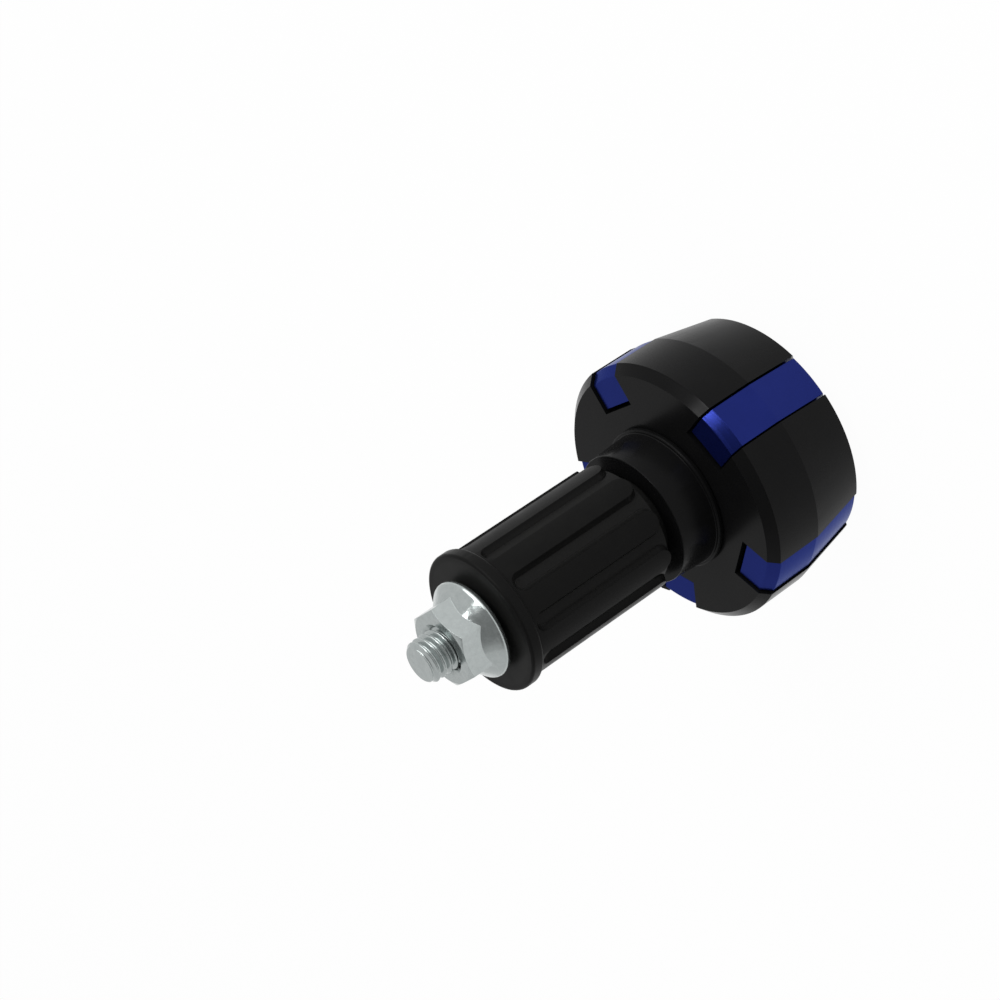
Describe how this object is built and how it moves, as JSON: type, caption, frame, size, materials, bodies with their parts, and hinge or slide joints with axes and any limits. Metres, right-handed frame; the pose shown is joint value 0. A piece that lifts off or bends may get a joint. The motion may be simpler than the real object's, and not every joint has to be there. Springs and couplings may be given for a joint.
{
  "type": "handlebar bar end weight",
  "caption": "Turned bar end weight with a clawed cover over an armed core, and a rubber expander on a screw that grips inside a handlebar tube.",
  "frame": {"origin": "centre of the front face that the weight stands on, on the axis of the screw", "axes": "+Z along the screw from the front face to the nut, +X through the middle of one claw"},
  "size_m": [0.0382, 0.0384, 0.0638],
  "materials": {
    "blue_anodised": "turned and anodised blue",
    "black_anodised": "turned and anodised black, satin",
    "rubber": "matte black",
    "zinc": "bright zinc plated"
  },
  "bodies": {
    "root": {"weight_core": "blue_anodised", "claw_cover": "black_anodised", "collar": "black_anodised", "rubber_expander": "rubber", "cap_screw": "zinc", "flange_nut": "zinc"}
  },
  "joints": []
}
